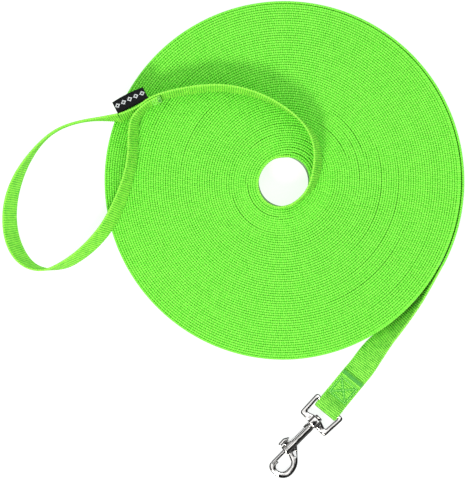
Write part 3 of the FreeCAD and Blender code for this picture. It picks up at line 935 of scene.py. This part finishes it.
def label():
    """A blank label folded double: its cut ends lie on the lead's face, and its leaf stands out flat."""
    origin, lean = stations(LEAD)[0]
    way = (stations(LEAD)[2][0] - origin).normalized()
    wide = across(way, lean)
    foot = wide.cross(way).normalized() * LABEL_FOOT
    outward = UP.cross(way)
    line = spline_line([origin + wide * (HALF_WIDTH + above) + foot * share + outward * out
                        for above, share, out in LABEL_LINE])[::8]
    points, uvs = [], []
    gone = 0.0
    for i, place in enumerate(line):
        if i:
            gone += (place - line[i - 1]).length
        before, after = line[max(i - 1, 0)], line[min(i + 1, len(line) - 1)]
        face_out = way.cross(after - before).normalized()
        if face_out.z < 0:
            face_out = -face_out
        on_leaf = max(0.0, (place - origin).dot(outward)) / LABEL_LEAF
        for j in range(LABEL_COLUMNS + 1):
            share = j / LABEL_COLUMNS
            ripple = LABEL_RIPPLE * math.sin(math.pi * share * 1.6 + 0.4) * on_leaf
            bow = LABEL_BOW * math.sin(math.pi * share) * on_leaf
            spot = place + way * (share * LABEL_LENGTH) + UP * ripple + outward * bow
            points += [spot + face_out * LABEL_HALF, spot - face_out * LABEL_HALF]
            uvs += [(share * LABEL_LENGTH, gone)] * 2
    piece = add_mesh("folded_label", points, label_faces(len(line), LABEL_COLUMNS))
    give_uvs(piece, uvs)
    paint(piece, label_cloth)
    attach(piece, "leash")
    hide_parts("loop_label")


label()

# ---------------------------------------------------------------- snap


# The spring in the snap's own frame, in mm
SPRING_FIRST = 1.35
SPRING_LAST = 14.25
SPRING_TURNS = 11
SPRING_RADIUS = 2.02
SPRING_WIRE = 0.24
SPRING_AXIS = -0.5
STEPS_PER_TURN = 24
WIRE_SIDES = 8


def snap_place(x, y, z):
    """A place in the snap's own frame, in mm: x along the shank towards the nose, y towards the belly."""
    return SNAP_ZERO + SNAP_X * (x / 1000) + SNAP_Y * (y / 1000) + UP * (z / 1000)


def spring():
    """The compression spring in the shank, built at rest; in the real snap the bolt squashes it."""
    steps = SPRING_TURNS * STEPS_PER_TURN
    points = []
    for step in range(steps + 1):
        turn = 2 * math.pi * step / STEPS_PER_TURN
        along = SPRING_FIRST + (SPRING_LAST - SPRING_FIRST) * step / steps
        for side in range(WIRE_SIDES):
            round_wire = 2 * math.pi * side / WIRE_SIDES
            reach = SPRING_RADIUS + SPRING_WIRE * math.cos(round_wire)
            points.append(snap_place(along + SPRING_WIRE * math.sin(round_wire),
                                     math.cos(turn) * reach + SPRING_AXIS, math.sin(turn) * reach))
    piece = add_mesh("coil_spring", points, skin(steps + 1, WIRE_SIDES))
    paint(piece, spring_steel)
    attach(piece, "snap")
    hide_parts("bolt_spring")
    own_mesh(piece)


spring()

for node, material in (
    ("swivel_eye", casting), ("snap_body", hook_casting), ("thumb_knob", casting),
    ("swivel_rivet", pin_metal), ("snap_bolt", pin_metal),
):
    for socket in frame["nodes"][node].material_slots:
        socket.material = material

# The metal doesn't mirror the webbing, as if a card stood between them.
for name in ("coil_inner", "coil_middle", "coil_outer", "lead_webbing", "hand_loop", "tail_webbing",
             "turned_back_ply"):
    bpy.data.objects[name].visible_glossy = False

# ---------------------------------------------------------------- floor, light and camera


FLOOR_HALF = 4
FLOOR_LOW = -0.0003
FLOOR_GLOW = 0.78
LIT_FROM = OUTER_MIDDLE - 0.001
FLOOR_GREY = (0.35, 0.35, 0.35)
MIRRORED_FLOOR_GREY = (0.01, 0.01, 0.01)
MIRRORED_SHARE = 0.92
WORLD_STRENGTH = 0.92
SKY_TINT = (0.88, 1.0, 1.0)
# Greys that the metal mirrors, from one side to the other, from front to back and from below to above, and
# the pale sky that lights everything else. Each is a list of (direction from -1 to 1, grey).
SIDE_TO_SIDE = [
    (-1.0, 0.05), (-0.93, 0.05), (-0.84, 0.75), (-0.62, 0.55), (-0.54, 0.06), (-0.46, 0.06), (-0.38, 1.3),
    (0.035, 1.4), (0.085, 0.02), (0.90, 0.01), (0.95, 0.5), (1.0, 0.1),
]
FRONT_TO_BACK = [
    (-1.0, 0.3), (-0.80, 0.06), (-0.45, 0.08), (-0.34, 1.2), (0.30, 1.1), (0.42, 0.30), (0.80, 0.05),
    (1.0, 0.3),
]
BELOW_TO_ABOVE = [(-1.0, 0.0), (-0.1, 0.03), (0.25, 0.25), (0.45, 1.0), (1.0, 1.0)]
SKY = [(-1.0, 0.8), (0.0, 0.62), (0.5, 0.85), (1.0, 1.0)]


def glossy_ray(tree):
    return tree.nodes.new("ShaderNodeLightPath").outputs["Is Glossy Ray"]


def pale_floor():
    """A light table, unlit under the coil. It is dark where metal mirrors it, which outlines the metal."""
    floor = add_mesh("floor", [(-FLOOR_HALF, -FLOOR_HALF, 0), (FLOOR_HALF, -FLOOR_HALF, 0),
                               (FLOOR_HALF, FLOOR_HALF, 0), (-FLOOR_HALF, FLOOR_HALF, 0)],
                     [(0, 1, 2, 3)], smooth=False)
    material, tree, shader = node_material("pale_floor")
    shader.inputs["Emission Color"].default_value = (1, 1, 1, 1)
    spot = tree.nodes.new("ShaderNodeVectorMath")
    spot.operation = "DISTANCE"
    spot.inputs[1].default_value = (COIL.x, COIL.y, FLOOR_LOW)
    tree.links.new(tree.nodes.new("ShaderNodeNewGeometry").outputs["Position"], spot.inputs[0])
    lit = maths(tree, "ADD", maths(tree, "LESS_THAN", spot.outputs["Value"], HOLE_SHORT),
                maths(tree, "GREATER_THAN", spot.outputs["Value"], LIT_FROM))
    seen = maths(tree, "SUBTRACT", 1.0, maths(tree, "MULTIPLY", glossy_ray(tree), MIRRORED_SHARE))
    glow = maths(tree, "MULTIPLY", maths(tree, "MULTIPLY", lit, FLOOR_GLOW), seen)
    tree.links.new(glow, shader.inputs["Emission Strength"])
    tree.links.new(mixed(tree, seen, MIRRORED_FLOOR_GREY, FLOOR_GREY), shader.inputs["Base Color"])
    shader.inputs["Roughness"].default_value = 0.9
    shader.inputs["Specular IOR Level"].default_value = 0.1
    paint(floor, material)
    floor.location.z = FLOOR_LOW


def banded(tree, value, steps):
    """A colour ramp of greys over a value that runs from -1 to 1."""
    ramp = tree.nodes.new("ShaderNodeValToRGB")
    tree.links.new(maths(tree, "ADD", maths(tree, "MULTIPLY", value, 0.5), 0.5), ramp.inputs["Fac"])
    elements = ramp.color_ramp.elements
    for element, (position, grey) in zip(elements, (steps[0], steps[-1])):
        element.position = position / 2 + 0.5
        element.color = (grey, grey, grey, 1)
    for position, grey in steps[1:-1]:
        elements.new(position / 2 + 0.5).color = (grey, grey, grey, 1)
    return ramp.outputs["Color"]


def studio_world():
    """Pale all round. Reflections see soft boxes and dark flags in it, as in a product studio."""
    world = bpy.data.worlds.new("studio")
    world.use_nodes = True
    tree = world.node_tree
    background = tree.nodes["Background"]
    split = tree.nodes.new("ShaderNodeSeparateXYZ")
    tree.links.new(tree.nodes.new("ShaderNodeTexCoord").outputs["Generated"], split.inputs[0])
    half = math.sqrt(0.5)
    to_right = maths(tree, "MULTIPLY", maths(tree, "SUBTRACT", split.outputs["X"], split.outputs["Y"]), half)
    to_back = maths(tree, "MULTIPLY", maths(tree, "ADD", split.outputs["X"], split.outputs["Y"]), half)
    boxes = mixed(tree, 1.0, banded(tree, to_right, SIDE_TO_SIDE), banded(tree, to_back, FRONT_TO_BACK),
                  "MULTIPLY")
    mirrored = mixed(tree, 1.0, boxes, banded(tree, split.outputs["Z"], BELOW_TO_ABOVE), "MULTIPLY")
    sky = mixed(tree, 1.0, banded(tree, split.outputs["Z"], SKY), SKY_TINT, "MULTIPLY")
    tree.links.new(mixed(tree, glossy_ray(tree), sky, mirrored), background.inputs["Color"])
    background.inputs["Strength"].default_value = WORLD_STRENGTH
    bpy.context.scene.world = world


def area_light(name, place, size, power, colour):
    """A round soft box that faces the middle of the scene."""
    data = bpy.data.lights.new(name, "AREA")
    data.shape = "DISK"
    data.size = size
    data.energy = power
    data.color = colour
    light = bpy.data.objects.new(name, data)
    light.location = place
    light.rotation_euler = (-Vector(place)).to_track_quat("-Z", "Y").to_euler()
    bpy.context.scene.collection.objects.link(light)


# The camera looks straight down from far away, so that it sees almost no perspective. Its frame is as tall
# as FRAME_HEIGHT on the coil's upper side.
SENSOR = 36
FRAME_HEIGHT = 0.34584
CAMERA_DISTANCE = 2.5
CAMERA_PLACE = (0.00035, -0.00014, CAMERA_DISTANCE + WIDTH)


def photo_camera():
    data = bpy.data.cameras.new("camera")
    data.sensor_width = SENSOR
    data.lens = SENSOR * CAMERA_DISTANCE / FRAME_HEIGHT
    data.clip_end = 20
    camera = bpy.data.objects.new("camera", data)
    camera.location = CAMERA_PLACE
    bpy.context.scene.collection.objects.link(camera)
    bpy.context.scene.camera = camera


pale_floor()
studio_world()
area_light("key", (-0.55, -1.12, 1.30), size=0.45, power=19, colour=(1.0, 0.97, 0.88))
area_light("fill", (0.6, 0.9, 1.5), size=1.4, power=9, colour=(0.95, 1.0, 1.0))
photo_camera()
bpy.context.scene.view_settings.view_transform = "Standard"
